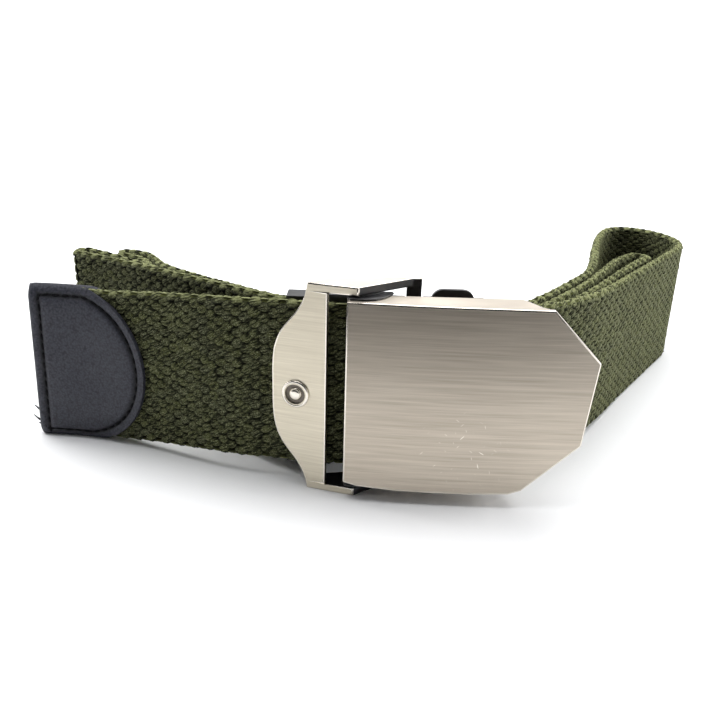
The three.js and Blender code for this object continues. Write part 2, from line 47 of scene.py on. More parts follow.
# The band's route in plan, in millimetres: x, y, lift of the lower edge
# A row with six values is a fold: x, y, lift, radius, bearing from, bearing to
routeTable = [
    (-8.8, 9.2, 3.9), (-12.6, 9.2, 3.9), (-16.6, 9.25, 3.9), (-20.2, 11.1, 3.9), (-25.0, 14.6, 3.8),
    (-38.2, 24.4, 3.5), (-55.0, 37.4, 2.9), (-67.5, 46.9, 2.4),
    (-77.0, 54.9, 2.2, 1.65, 236, 56),  # front fold on the left
    (-65.4, 49.6, 1.9), (-53.1, 40.1, 1.5), (-36.2, 27.2, 0.9), (-24.4, 18.6, 0.5), (-16.5, 14.9, 0.2),
    (-7.0, 13.9, 0), (6.0, 11.6, 0), (18.0, 9.8, 0), (27.0, 9.0, 0), (33.6, 10.2, 0), (39.2, 13.8, 0),
    (46.0, 21.4, 0), (53.5, 30.6, 0), (62.7, 43.4, 0), (72.2, 58.0, 0), (82.2, 72.6, 0),
    (84.4, 79.4, 0, 2.6, -20, 130),  # inner loop on the right
    (76.6, 74.4, 0), (68.2, 60.0, 0), (59.6, 45.6, 0), (50.3, 32.4, 0), (42.9, 23.0, 0), (36.8, 16.6, 0),
    (31.4, 13.2, 0), (25.0, 12.2, 0), (16.0, 13.2, 0), (4.0, 15.2, 0), (-8.0, 17.2, 0), (-17.4, 18.9, 0),
    (-24.4, 22.4, 0), (-35.4, 30.6, 0), (-51.0, 42.8, 0), (-58.0, 50.4, 0), (-62.3, 57.9, 0),
    (-68.0, 63.9, 0, 1.65, 245, 65),  # back fold on the left
    (-62.2, 63.0, 0), (-58.2, 57.4, 0), (-54.6, 51.2, 0), (-48.6, 44.9, 0), (-33.4, 33.0, 0),
    (-22.8, 25.2, 0), (-16.0, 21.9, 0), (-6.8, 20.1, 0), (4.6, 18.2, 0), (16.4, 16.3, 0), (25.0, 15.3, 0),
    (30.2, 16.2, 0), (34.6, 19.0, 0), (40.2, 25.0, 0), (47.6, 34.4, 0), (56.6, 47.4, 0), (63.0, 57.4, 0),
    (68.0, 69.6, 0), (72.8, 85.0, 0), (82.0, 111.4, 0),
    (86.0, 119.6, 0), (90.6, 124.6, 0), (97.0, 125.0, 0), (102.6, 120.4, 0), (105.6, 112.0, 0),
    (106.0, 103.6, 0), (103.0, 95.6, 0),  # outer loop on the right
    (95.6, 84.8, 0), (86.0, 71.2, 0), (75.2, 55.8, 0.2), (65.6, 41.2, 0.8), (56.4, 27.8, 1.8),
    (48.9, 18.4, 2.8), (41.8, 10.6, 3.8), (35.0, 5.8, 4.5),
    (25.0, 3.5, 4.5), (14.0, 3.4, 4.5), (0.0, 3.4, 4.5), (-7.0, 3.5, 4.5),  # under the lid, to the window
    (-12.6, 4.3, 4.5), (-18.4, 5.4, 4.5), (-24.6, 6.5, 4.2), (-31.4, 8.6, 3.8), (-39.6, 12.0, 3.0),
    (-48.5, 15.9, 2.0), (-56.5, 19.2, 1.0), (-64.5, 21.7, 0.6), (-71.5, 22.8, 0.5), (-77.2, 23.1, 0.5),
]


foldSteps = 4  # spans round each fold
leastSpan = 0.01  # so that points in one place do no harm


def routePoints():
    points = []
    for row in routeTable:
        if len(row) == 3:
            points.append(Vector(row))
            continue
        x, y, lift, radius, first, last = row
        for i in range(foldSteps + 1):
            bearing = math.radians(first + (last - first) * i / foldSteps)
            reach = Vector((math.cos(bearing), math.sin(bearing), 0)) * radius
            points.append(Vector((x, y, lift)) + reach)
    return points


def smoothRoute(points, stepsPerSpan):  # centripetal curve through the points
    ends = [points[0] * 2 - points[1]] + points + [points[-1] * 2 - points[-2]]
    smooth = []
    for a, b, c, d in zip(ends, ends[1:], ends[2:], ends[3:]):
        first, span, last = [max((q - p).length ** 0.5, leastSpan) for p, q in ((a, b), (b, c), (c, d))]
        leave = ((b - a) / first - (c - a) / (first + span) + (c - b) / span) * span
        arrive = ((c - b) / span - (d - b) / (span + last) + (d - c) / last) * span
        for i in range(stepsPerSpan):
            t = i / stepsPerSpan
            cubic = (b - c) * 2 + leave + arrive
            square = (c - b) * 3 - leave * 2 - arrive
            smooth.append(b + leave * t + square * t ** 2 + cubic * t ** 3)
    smooth.append(points[-1])
    return smooth


def runningLengths(points):
    lengths = [0.0]
    for a, b in zip(points, points[1:]):
        lengths.append(lengths[-1] + (b - a).xy.length)
    return lengths


webbing = {
    "width": 38.0,
    "thickness": 2.7,
    "coreThickness": 2.0,  # the band under the raised floats
    "stepsPerSpan": 4,
    "sectionCorners": 5,
    "underLid": 4.5,  # how high its lower edge stands in the buckle
    "floatPitch": 4.17,  # from one float to the next in its row, along the band
    "floatRows": 64,  # rows right round the band, every second one half a pitch on
    "floatLength": 3.6,
    "floatHeight": 2.62,
    "floatRise": 0.38,
    "floatSides": 8,
    "floatRings": [(0.6, 0.84), (1.0, -0.2)],  # shares of its reach and its rise; the last is sunk
    "slant": -0.1,  # tilt of the floats, as a slope
    "wander": 0.26,  # how far a float strays along its row
    "stretches": 3,  # separate pieces, so that each stays light
    "seed": 7,
}

layoutRoute = smoothRoute(routePoints(), webbing["stepsPerSpan"])
pinLayout = Vector((-1.2, -1.4, 0.0))  # the hinge pin's place in the layout above
pinLow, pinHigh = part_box("hinge_pin")
pinPlan = ((pinLow[0] + pinHigh[0]) / 2, (pinLow[1] + pinHigh[1]) / 2)
frameShift = Vector((*pinPlan, 0.0)) / millimetre - pinLayout
print("layout shift in millimetres:", [round(value, 2) for value in frameShift])


def place(x, y, z):  # layout millimetres to metres in the part's frame
    return (Vector((x, y, z)) + frameShift) * millimetre


route = [place(*point) for point in layoutRoute]
routeLengths = runningLengths(route)
routeLength = routeLengths[-1]


def alongRoute(distance):  # point and heading at a distance from the clamped end, or past the free end
    if distance >= routeLength:
        heading = (route[-1] - route[-2]).xy.normalized().to_3d()
        return route[-1] + heading * (distance - routeLength), heading
    low, high = 0, len(routeLengths) - 1
    while high - low > 1:
        middle = (low + high) // 2
        low, high = (middle, high) if routeLengths[middle] <= distance else (low, middle)
    share = (distance - routeLengths[low]) / (routeLengths[high] - routeLengths[low])
    headings = []
    for i in (low, high):
        before, after = route[max(i - 1, 0)], route[min(i + 1, len(route) - 1)]
        headings.append((after - before).xy.normalized().to_3d())
    return route[low].lerp(route[high], share), headings[0].lerp(headings[1], share).normalized()


# Camera: the photograph's angle, 37.5 mm lens on a square 36 mm frame
camera = {"x": 0.0, "y": -148.3, "z": 88.0, "fuzzLight": 21.0, "roll": 1.8, "lens": 37.5, "sensor": 36.0}


def makeCamera():
    data = bpy.data.cameras.new("photo_camera")
    data.lens = camera["lens"]
    data.sensor_width = camera["sensor"]
    data.clip_start = 0.01
    view = bpy.data.objects.new("photo_camera", data)
    bpy.context.collection.objects.link(view)
    turn = Matrix.Rotation(math.radians(90 - camera["fuzzLight"]), 4, "X")
    roll = Matrix.Rotation(math.radians(camera["roll"]), 4, "Z")
    view.matrix_world = Matrix.Translation(place(camera["x"], camera["y"], camera["z"])) @ turn @ roll
    bpy.context.scene.camera = view


makeCamera()
print("camera placed")


# Nodes and colours

def addNode(tree, kind, inputs=None, **settings):  # one node with its settings and links; gives its outputs
    node = tree.nodes.new(kind)
    for name, value in settings.items():
        setattr(node, name, value)
    for key, value in (inputs or {}).items():
        if isinstance(value, bpy.types.NodeSocket):
            tree.links.new(value, node.inputs[key])
        else:
            node.inputs[key].default_value = value
    return node.outputs


def linearColour(hexColour):
    channels = []
    for i in (1, 3, 5):
        value = int(hexColour[i:i + 2], 16) / 255
        channels.append(value / 12.92 if value <= 0.04045 else ((value + 0.055) / 1.055) ** 2.4)
    return (*channels, 1.0)


def maths(tree, operation, *values):
    return addNode(tree, "ShaderNodeMath", dict(enumerate(values)), operation=operation)[0]


def vectors(tree, operation, *values):
    return addNode(tree, "ShaderNodeVectorMath", dict(enumerate(values)), operation=operation)[0]


def ranged(tree, value, limits):
    return addNode(tree, "ShaderNodeMapRange", {"Value": value, **limits})[0]


def noise(tree, vector, scale=1.0, detail=2.0):
    return addNode(tree, "ShaderNodeTexNoise", {"Vector": vector, "Scale": scale, "Detail": detail})["Fac"]


def mixed(tree, share, tone, hexColour):  # the tone with a share of the colour over it
    colours = {0: share, 6: tone, 7: linearColour(hexColour)}
    return addNode(tree, "ShaderNodeMix", colours, data_type="RGBA")[2]


def bumped(tree, height, strength, depth, **settings):
    values = {"Height": height, "Strength": strength, "Distance": depth * millimetre}
    return addNode(tree, "ShaderNodeBump", values, **settings)[0]


def surface(material, tree, values):  # closes a material with its one shader
    shader = addNode(tree, "ShaderNodeBsdfPrincipled", values)[0]
    addNode(tree, "ShaderNodeOutputMaterial", {"Surface": shader})
    return material


def startMaterial(name):
    material = bpy.data.materials.new(name)
    material.use_nodes = True
    tree = material.node_tree
    tree.nodes.clear()
    return material, tree, addNode(tree, "ShaderNodeTexCoord")["Object"]


def patternScale(size):  # repeats in a metre, from a pattern's size in millimetres
    return 1 / (size * millimetre)


def levelness(tree):  # how squarely a surface faces up or down: on the band only its edges do
    facing = addNode(tree, "ShaderNodeTexCoord")["Normal"]
    upward = addNode(tree, "ShaderNodeSeparateXYZ", {0: facing})["Z"]
    return maths(tree, "ABSOLUTE", upward)


# Cotton yarn, dyed olive and woven thick: matt and dusty, each float a bundle of twisted strands, some
# greener and some greyer; painted shade makes it nearly black where the floats dive under one another,
# and a painted highlight lightens the band's level edges
cotton = {
    "olive": "#474A2B",
    "grey": "#404231",
    "faded": "#525538",
    "lint": "#8E9170",
    # painted shade: between the strands, at each float's rim, and deep between the floats
    "shade": "#0F1106",
    "rim": "#0A0B05",
    "gap": "#070804",
    "litGround": "#5A5E38",  # painted light on the ground along the band's level edges
    "fuzzLight": "#9DA16E",  # painted highlight on the band's level edges, as of loose fibres catching the light; also the sheen's tint
    "edgeHighlight": 0.45,
    "patch": 9.0,  # width of a faded patch in millimetres
    "fuzz": 0.24,
    "strand": (1.0, 0.26, 1.0),  # its mark, in shares of the float; the real 0.1 mm would not show
    "strandDepth": 0.2,
    "strandsApart": 40.0,  # how far off one float's strands are taken from the next one's
    "twist": 0.35,
    # Where each mark begins and is full, and how strong it gets
    "rimReach": {"From Min": 0.6, "From Max": 0.92},
    "rimWhereLevelLit": {"To Min": 1.0, "To Max": 0.25},
    "highlightWhereLevel": {"From Min": 0.3, "From Max": 0.85},
    "groundLitWhereLevel": {"From Min": 0.1, "From Max": 0.6},
    "fadedPatches": {"From Min": 0.45, "From Max": 0.75, "To Max": 0.7},
    "lintSpecks": {"From Min": 0.5, "From Max": 0.68, "To Max": 0.9},
    "strandGaps": {"From Min": 0.54, "From Max": 0.4, "To Max": 0.92},
}


def wovenCotton():
    material, tree, coords = startMaterial("cotton webbing, woven floats")
    spot = addNode(tree, "ShaderNodeAttribute", attribute_name="spot")["Vector"]
    tint = addNode(tree, "ShaderNodeAttribute", attribute_name="tint")["Fac"]
    # Painted highlight on the band's level edges, where the light falls; the rims' painted shade fades there
    levelLit = ranged(tree, levelness(tree), cotton["highlightWhereLevel"])
    edgeShine = maths(tree, "MULTIPLY", levelLit, cotton["edgeHighlight"])
    reach = addNode(tree, "ShaderNodeVectorMath", {0: spot}, operation="LENGTH")["Value"]
    # painted shade at each float's rim, where it dives under its neighbours
    rim = ranged(tree, reach, cotton["rimReach"])
    sunk = ranged(tree, levelLit, cotton["rimWhereLevelLit"])
    rim = maths(tree, "MULTIPLY", rim, sunk)
    ownStart = maths(tree, "MULTIPLY", tint, cotton["strandsApart"])
    apart = addNode(tree, "ShaderNodeCombineXYZ", {"Z": ownStart})[0]
    own = vectors(tree, "ADD", spot, apart)
    twisted = addNode(
        tree, "ShaderNodeMapping",
        {"Vector": own, "Rotation": (0.0, 0.0, cotton["twist"]), "Scale": cotton["strand"]},
        vector_type="TEXTURE",
    )[0]
    strands = noise(tree, twisted)
    fuzz = noise(tree, coords, patternScale(cotton["fuzz"]))
    patches = noise(tree, coords, patternScale(cotton["patch"]))
    worn = ranged(tree, patches, cotton["fadedPatches"])
    light = ranged(tree, fuzz, cotton["lintSpecks"])
    deep = ranged(tree, strands, cotton["strandGaps"])
    dyed = linearColour(cotton["olive"])
    marks = {"grey": tint, "faded": worn, "lint": light, "fuzzLight": edgeShine, "shade": deep, "rim": rim}
    for colour, share in marks.items():
        dyed = mixed(tree, share, dyed, cotton[colour])
    raised = bumped(tree, strands, 0.8, cotton["strandDepth"])
    return surface(material, tree, {
        "Base Color": dyed, "Normal": raised, "Roughness": 0.95, "Specular IOR Level": 0.15,
        "Sheen Weight": 0.55, "Sheen Roughness": 0.35, "Sheen Tint": linearColour(cotton["fuzzLight"]),
    })


def cottonGround():
    # The same cotton deep between the floats, in painted shade: no light gets in, so it is nearly black, but
    # a painted light lifts it on the band's level edges, where light falls on the ground
    material, tree, coords = startMaterial("cotton webbing, between the floats")
    speckle = noise(tree, coords, patternScale(cotton["fuzz"]))
    groundLit = ranged(tree, levelness(tree), cotton["groundLitWhereLevel"])
    dyed = linearColour(cotton["gap"])
    for colour, share in {"rim": speckle, "litGround": groundLit}.items():
        dyed = mixed(tree, share, dyed, cotton[colour])
    return surface(material, tree, {
        "Base Color": dyed, "Roughness": 1.0, "Specular IOR Level": 0.05,
    })


# Finished leather, drum-dyed near black and pressed: a satin light over a fine pebbled grain, with painted
# shade along the stitch groove
leather = {
    "colour": "#3C3D46",
    "dark": "#17181E",
    # painted shade along the stitch groove
    "grooveShade": "#050508",
    "cloud": 6.0,
    "grain": 0.45,  # pebbles; the real 0.3 mm would not show
    "grainDepth": 0.1,
    "darkBetween": {"From Min": 0.2, "From Max": 0.75, "To Max": 0.8},
    "polish": {"From Min": 0.3, "From Max": 0.7, "To Min": 0.46, "To Max": 0.62},
}


def finishedLeather():
    material, tree, coords = startMaterial("finished leather, fine pebbled grain")
    groove = addNode(tree, "ShaderNodeAttribute", attribute_name="groove")["Fac"]
    cells = addNode(
        tree, "ShaderNodeTexVoronoi", {"Vector": coords, "Scale": patternScale(leather["grain"])},
        feature="SMOOTH_F1",
    )["Distance"]
    cloud = noise(tree, coords, patternScale(leather["cloud"]), 4.0)
    pebbles = ranged(tree, cells, leather["darkBetween"])
    dyed = linearColour(leather["colour"])
    for colour, share in {"dark": pebbles, "grooveShade": groove}.items():
        dyed = mixed(tree, share, dyed, leather[colour])
    polish = ranged(tree, cloud, leather["polish"])
    grain = bumped(tree, cells, 0.6, leather["grainDepth"], invert=True)
    return surface(material, tree, {
        "Base Color": dyed, "Roughness": polish, "Normal": grain, "Specular IOR Level": 0.28,
    })


waxed = {"dark": "#060608", "light": "#141418", "twist": 0.25}


def waxedThread():
    # Polyester sewing thread, twisted and waxed: black with a faint gloss on its twist
    material, tree, coords = startMaterial("waxed thread, twisted")
    twist = noise(tree, coords, patternScale(waxed["twist"]))
    dyed = mixed(tree, twist, linearColour(waxed["dark"]), waxed["light"])
    return surface(material, tree, {
        "Base Color": dyed, "Roughness": 0.6, "Specular IOR Level": 0.1,
    })


# Nickel plate on pressed steel, brushed lengthwise: fine hairlines, and light drawn out across them
nickel = {
    "hairline": (12.0, 6.0, 0.22),  # length, depth and width in millimetres; the real 0.1 mm would not show
    "band": (20.0, 20.0, 0.6),  # the broader bands that brushing leaves
    "hairlineDepth": 0.0012,
    "brushing": (1.0, 0.02, 0.05),  # along the belt, a little off true so that no face lies square to it
    "toneSpread": {"From Min": 0.65, "From Max": 1.35},
    "polishLines": {"From Min": 0.3, "From Max": 0.7},
    "polishSpread": 0.03,  # how much rougher and smoother the hairlines are than their sheet
    "scratched": "#F1ECE2",
    "worn": 2.5,  # size of the patches on the polished edges
}
lidScratches = {
    "centre": (22.0, -7.4, 12.5),
    "radius": 11.5,
    "stroke": (2.2, 6.0, 0.24),
    "slants": (32.0, -47.0, 74.0),  # degrees
    "scarce": {"From Min": 0.805, "From Max": 0.84},  # only the noise's highest peaks are scratches
}
lidCrown = {  # in the shading alone: it turns the lid's upper part to the black card in front
    "top": (8.0, 0.0, 11.0),
    "reach": (46.0, 1000.0, 33.0),  # how far from its top it has fallen by its rise
    "rise": 3.0,
}


def lidScratchMarks(tree, coords, scratches):  # shares of bare metal, one for each slant
    middle = place(*scratches["centre"])
    away = addNode(tree, "ShaderNodeVectorMath", {0: coords, 1: middle}, operation="DISTANCE")["Value"]
    radius = scratches["radius"] * millimetre
    near = ranged(tree, away, {"From Min": radius, "From Max": radius / 2})
    marks = []
    for slant in scratches["slants"]:
        turned = addNode(
            tree, "ShaderNodeMapping",
            {"Vector": coords, "Location": middle, "Rotation": (0.0, math.radians(slant), 0.0),
             "Scale": [size * millimetre for size in scratches["stroke"]]},
            vector_type="TEXTURE",
        )[0]
        strokes = noise(tree, turned, 1.0, 0.0)
        thin = ranged(tree, strokes, scratches["scarce"])
        marks.append(maths(tree, "MULTIPLY", near, thin))
    return marks


def crownedNormal(tree, coords, crown):  # the facing of a sheet that domes a little, without its shape
    reach = [size * millimetre for size in crown["reach"]]
    top = place(*crown["top"])
    away = vectors(tree, "SUBTRACT", coords, top)
    shares = vectors(tree, "DIVIDE", away, reach)
    flat = vectors(tree, "MULTIPLY", shares, (1.0, 0.0, 1.0))
    bow = addNode(tree, "ShaderNodeVectorMath", {0: flat, 1: flat}, operation="DOT_PRODUCT")["Value"]
    return bumped(tree, bow, 1.0, crown["rise"], invert=True)


def brushedNickel(name, colour, dark, roughness, scratches=None, crown=None):
    material, tree, coords = startMaterial(name)
    patterns = []
    for key, detail in (("hairline", 3.0), ("band", 1.0)):
        drawn = addNode(
            tree, "ShaderNodeMapping",
            {"Vector": coords, "Scale": [size * millimetre for size in nickel[key]]},
            vector_type="TEXTURE",
        )[0]
        patterns.append(noise(tree, drawn, detail=detail))
    hairlines, bands = patterns
    both = maths(tree, "ADD", hairlines, bands)
    share = ranged(tree, both, nickel["toneSpread"])
    tone = mixed(tree, share, linearColour(dark), colour)
    for cut in lidScratchMarks(tree, coords, scratches) if scratches else []:
        tone = mixed(tree, cut, tone, nickel["scratched"])
    spread = nickel["polishSpread"]
    ends = {"To Min": roughness - spread, "To Max": roughness + spread}
    polish = ranged(tree, hairlines, {**nickel["polishLines"], **ends})
    fine = {"Height": hairlines, "Strength": 0.5, "Distance": nickel["hairlineDepth"] * millimetre}
    if crown:
        fine["Normal"] = crownedNormal(tree, coords, crown)
    lines = addNode(tree, "ShaderNodeBump", fine)[0]
    facing = addNode(tree, "ShaderNodeTexCoord")["Normal"]
    across = vectors(tree, "CROSS_PRODUCT", facing, nickel["brushing"])
    drawnOut = addNode(
        tree, "ShaderNodeVectorTransform", {"Vector": across},
        vector_type="VECTOR", convert_from="OBJECT", convert_to="WORLD",
    )[0]
    return surface(material, tree, {
        "Base Color": tone, "Metallic": 1.0, "Roughness": polish, "Normal": lines,
        "Anisotropic": 0.8, "Tangent": drawnOut,
    })


def polishedNickel(name, dull, bright, roughness):
    # The same plate where the brush did not reach: broken edges nearly mirror-bright, recesses dull and dark
    material, tree, coords = startMaterial(name)
    wear = noise(tree, coords, patternScale(nickel["worn"]))
    tone = mixed(tree, wear, linearColour(dull), bright)
    return surface(material, tree, {
        "Base Color": tone, "Metallic": 1.0, "Roughness": roughness,
    })


black = {
    "lacquer": "#0B0A0C",
    "dust": "#221F21",
    "dustSize": 1.2,
    "dusty": {"From Min": 0.45, "From Max": 0.8},
    "peel": 0.02,  # depth of the sprayed coat's ripple
}


def blackLacquer():
    # Stoving lacquer, sprayed black on pressed steel: deep and satin, a little dusty
    material, tree, coords = startMaterial("black lacquer, sprayed and baked on steel")
    dust = noise(tree, coords, patternScale(black["dustSize"]), 6.0)
    dusty = ranged(tree, dust, black["dusty"])
    tone = mixed(tree, dusty, linearColour(black["lacquer"]), black["dust"])
    peel = bumped(tree, dust, 0.3, black["peel"])
    return surface(material, tree, {
        "Base Color": tone, "Roughness": 0.42, "Normal": peel,
    })


floatCloth = wovenCotton()
gapCloth = cottonGround()
tipLeather = finishedLeather()
thread = waxedThread()
frameNickel = brushedNickel("nickel plate, brushed, light", "#DFD7C4", "#CBC2AF", 0.36)
coverNickel = brushedNickel("nickel plate, brushed, dark", "#C8BEB0", "#AEA496", 0.33, lidScratches, lidCrown)
edgeNickel = polishedNickel("nickel plate, polished edge", "#CFC8BC", "#E6E0D6", 0.2)
recessNickel = polishedNickel("nickel plate, darkened in a recess", "#5C5750", "#7D766E", 0.5)
lacquer = blackLacquer()
print("materials made")


# Geometry Nodes helpers

def startTree(name, sockets):
    tree = bpy.data.node_groups.new(name, "GeometryNodeTree")
    tree.interface.new_socket(name="Geometry", in_out="INPUT", socket_type="NodeSocketGeometry")
    for label, kind in sockets:
        tree.interface.new_socket(name=label, in_out="INPUT", socket_type="NodeSocket" + kind)
    tree.interface.new_socket(name="Geometry", in_out="OUTPUT", socket_type="NodeSocketGeometry")
    return tree, addNode(tree, "NodeGroupInput")


def turnTo(tree, facing, along):  # stands a copy's Z on its facing and lays its X along
    axes = {"Primary Axis": facing, "Secondary Axis": along}
    return addNode(tree, "FunctionNodeAxesToRotation", axes, primary_axis="Z", secondary_axis="X")[0]


def copies(tree, points, shape, turn, size):
    original = addNode(tree, "GeometryNodeObjectInfo", {"Object": shape})["Geometry"]
    values = {"Points": points, "Instance": original, "Rotation": turn, "Scale": size}
    return addNode(tree, "GeometryNodeInstanceOnPoints", values)[0]


def finishTree(tree, geometry, material):
    real = addNode(tree, "GeometryNodeRealizeInstances", {"Geometry": geometry})[0]
    clad = addNode(tree, "GeometryNodeSetMaterial", {"Geometry": real, "Material": material})[0]
    addNode(tree, "NodeGroupOutput", {0: clad})
    return tree


def link(obj):
    bpy.context.collection.objects.link(obj)
    return obj


def growMesh(name, source, tree, values):  # runs a tree on a mesh and keeps the result as a plain mesh
    carrier = link(bpy.data.objects.new(name + "_source", source))
    modifier = carrier.modifiers.new("growth", "NODES")
    modifier.node_group = tree
    for item in tree.interface.items_tree:
        if item.in_out == "INPUT" and item.name in values:
            modifier[item.identifier] = values[item.name]
    graph = bpy.context.evaluated_depsgraph_get()
    result = bpy.data.meshes.new_from_object(
        carrier.evaluated_get(graph), preserve_all_data_layers=True, depsgraph=graph,
    )
    result.name = name
    bpy.data.objects.remove(carrier)
    return link(bpy.data.objects.new(name, result))


def pathMesh(name, points):
    mesh = bpy.data.meshes.new(name)
    mesh.from_pydata(points, [(i, i + 1) for i in range(len(points) - 1)], [])
    return mesh


def joinRings(shell, rings):
    for first, second in zip(rings, rings[1:]):
        for k in range(len(first)):
            m = (k + 1) % len(first)
            shell.faces.new((first[k], first[m], second[m], second[k]))


def meshFrom(shell, name, *materials):  # a smooth mesh with its materials; the shell ends here
    mesh = bpy.data.meshes.new(name)
    shell.to_mesh(mesh)
    shell.free()
    mesh.shade_smooth()
    for material in materials:
        mesh.materials.append(material)
    return mesh


# Webbing

def sectionCurve(tree, sockets):  # the band's section: flat faces and half-round edges
    outline = addNode(
        tree, "GeometryNodeCurvePrimitiveQuadrilateral",
        {"Width": sockets["Core thickness"], "Height": sockets["Web width"]},
    )[0]
    nearlyHalf = 0.499  # so that the two roundings never quite meet
    radius = maths(tree, "MULTIPLY", sockets["Core thickness"], nearlyHalf)
    return addNode(
        tree, "GeometryNodeFilletCurve",
        {"Curve": outline, "Radius": radius, "Count": sockets["Section corners"]}, mode="POLY",
    )[0]


def coreTree():
    tree, sockets = startTree("webbing core", [
        ("Web width", "Float"), ("Core thickness", "Float"), ("Section corners", "Int"),
        ("Cloth", "Material"),
    ])
    path = addNode(tree, "GeometryNodeMeshToCurve", {0: sockets["Geometry"]})[0]
    upright = addNode(tree, "GeometryNodeSetCurveNormal", {"Curve": path}, mode="Z_UP")[0]
    band = addNode(
        tree, "GeometryNodeCurveToMesh",
        {"Curve": upright, "Profile Curve": sectionCurve(tree, sockets), "Fill Caps": True},
    )[0]
    smooth = addNode(tree, "GeometryNodeSetShadeSmooth", {"Geometry": band, "Shade Smooth": True})[0]
    return finishTree(tree, smooth, sockets["Cloth"])


# How much the floats differ from one another: lowest and highest of each
floatSpread = {
    "wander": (-1.0, 1.0),
    "lean": (-0.18, 0.18),
    "tint": (0.0, 1.0),
    "long": (0.86, 1.08),
    "high": (0.88, 1.06),
    "proud": (0.7, 1.0),
}


def weaveTree():
    tree, sockets = startTree("webbing weave", [
        ("Web width", "Float"), ("Core thickness", "Float"), ("Section corners", "Int"),
        ("First column", "Int"), ("Columns", "Int"), ("Rows", "Int"), ("Float pitch", "Float"),
        ("Wander", "Float"), ("Slant", "Float"), ("Seed", "Int"), ("Float shape", "Object"),
        ("Cloth", "Material"),
    ])
    chance = {}
    for i, (label, (low, high)) in enumerate(floatSpread.items()):
        seed = maths(tree, "ADD", sockets["Seed"], float(i))
        chance[label] = addNode(
            tree, "FunctionNodeRandomValue", {2: low, 3: high, "Seed": seed}, data_type="FLOAT",
        )[1]

    # Each float's column along the band and row round it, every second row half a pitch on
    index = addNode(tree, "GeometryNodeInputIndex")[0]
    rows = sockets["Rows"]
    row = maths(tree, "MODULO", index, rows)
    turns = maths(tree, "DIVIDE", index, rows)
    column = maths(tree, "FLOOR", turns)
    odd = maths(tree, "MODULO", row, 2.0)
    halfOn, begin = 0.5, 0.25  # shares of a pitch
    stagger = maths(tree, "MULTIPLY_ADD", odd, halfOn, begin)
    onBand = maths(tree, "ADD", column, sockets["First column"])
    along = maths(tree, "ADD", onBand, stagger)
    astray = maths(tree, "MULTIPLY", chance["wander"], sockets["Wander"])
    distance = maths(tree, "MULTIPLY_ADD", along, sockets["Float pitch"], astray)
    share = maths(tree, "DIVIDE", row, rows)

    # Its place: across the section, then out from the route
    path = addNode(tree, "GeometryNodeMeshToCurve", {0: sockets["Geometry"]})[0]
    section = sectionCurve(tree, sockets)
    onSection = addNode(
        tree, "GeometryNodeSampleCurve", {"Curves": section, "Factor": share}, mode="FACTOR",
    )["Position"]
    split = addNode(tree, "ShaderNodeSeparateXYZ", {0: onSection})
    onRoute = addNode(tree, "GeometryNodeSampleCurve", {"Curves": path, "Length": distance}, mode="LENGTH")
    sideways = vectors(tree, "CROSS_PRODUCT", onRoute["Tangent"], (0.0, 0.0, 1.0))
    side = vectors(tree, "NORMALIZE", sideways)
    outward = addNode(tree, "ShaderNodeVectorMath", {0: side, "Scale": split["X"]}, operation="SCALE")[0]
    upward = addNode(tree, "ShaderNodeCombineXYZ", {"Z": split["Y"]})[0]
    offset = vectors(tree, "ADD", outward, upward)
    position = vectors(tree, "ADD", onRoute["Position"], offset)

    # Its facing: straight out on the flat faces, round the half-round edges
    flat = maths(tree, "SUBTRACT", sockets["Web width"], sockets["Core thickness"])
    flatTop = maths(tree, "MULTIPLY", flat, 0.5)
    flatFoot = maths(tree, "MULTIPLY", flat, -0.5)
    level = addNode(tree, "ShaderNodeClamp", {"Value": split["Y"], "Min": flatFoot, "Max": flatTop})[0]
    past = maths(tree, "SUBTRACT", split["Y"], level)
    capward = addNode(tree, "ShaderNodeCombineXYZ", {"Z": past})[0]
    facing = vectors(tree, "ADD", outward, capward)
    tilt = maths(tree, "ADD", chance["lean"], sockets["Slant"])
    skew = addNode(tree, "ShaderNodeCombineXYZ", {"Z": tilt})[0]
    lengthwise = vectors(tree, "ADD", onRoute["Tangent"], skew)
    turn = turnTo(tree, facing, lengthwise)

    count = maths(tree, "MULTIPLY", sockets["Columns"], rows)
    points = addNode(tree, "GeometryNodePoints", {"Count": count, "Position": position})[0]
    tinted = addNode(
        tree, "GeometryNodeStoreNamedAttribute",
        {"Geometry": points, "Name": "tint", "Value": chance["tint"]},
        data_type="FLOAT", domain="POINT",
    )[0]
    size = addNode(
        tree, "ShaderNodeCombineXYZ", {"X": chance["long"], "Y": chance["high"], "Z": chance["proud"]},
    )[0]
    floats = copies(tree, tinted, sockets["Float shape"], turn, size)
    return finishTree(tree, floats, sockets["Cloth"])


def floatShape():  # one raised float: a low oval cushion, drawn out along the band
    sides = webbing["floatSides"]
    length, height, rise = [webbing[key] * millimetre for key in ("floatLength", "floatHeight", "floatRise")]
    vertices = [(0.0, 0.0, rise)]
    spots = [(0.0, 0.0, 0.0)]
    for reach, lift in webbing["floatRings"]:
        for i in range(sides):
            angle = 2 * math.pi * i / sides
            x, y = reach * math.cos(angle), reach * math.sin(angle)
            vertices.append((x * length / 2, y * height / 2, lift * rise))
            spots.append((x, y, 0.0))
    faces = []
    for i in range(sides):
        j = (i + 1) % sides
        faces.append((0, 1 + i, 1 + j))
        faces.append((1 + i, 1 + sides + i, 1 + sides + j, 1 + j))
    mesh = bpy.data.meshes.new("weave_float")
    mesh.from_pydata(vertices, [], faces)
    mesh.shade_smooth()
    spot = mesh.attributes.new("spot", "FLOAT_VECTOR", "POINT")
    for i, value in enumerate(spots):
        spot.data[i].vector = value
    return link(bpy.data.objects.new("weave_float", mesh))


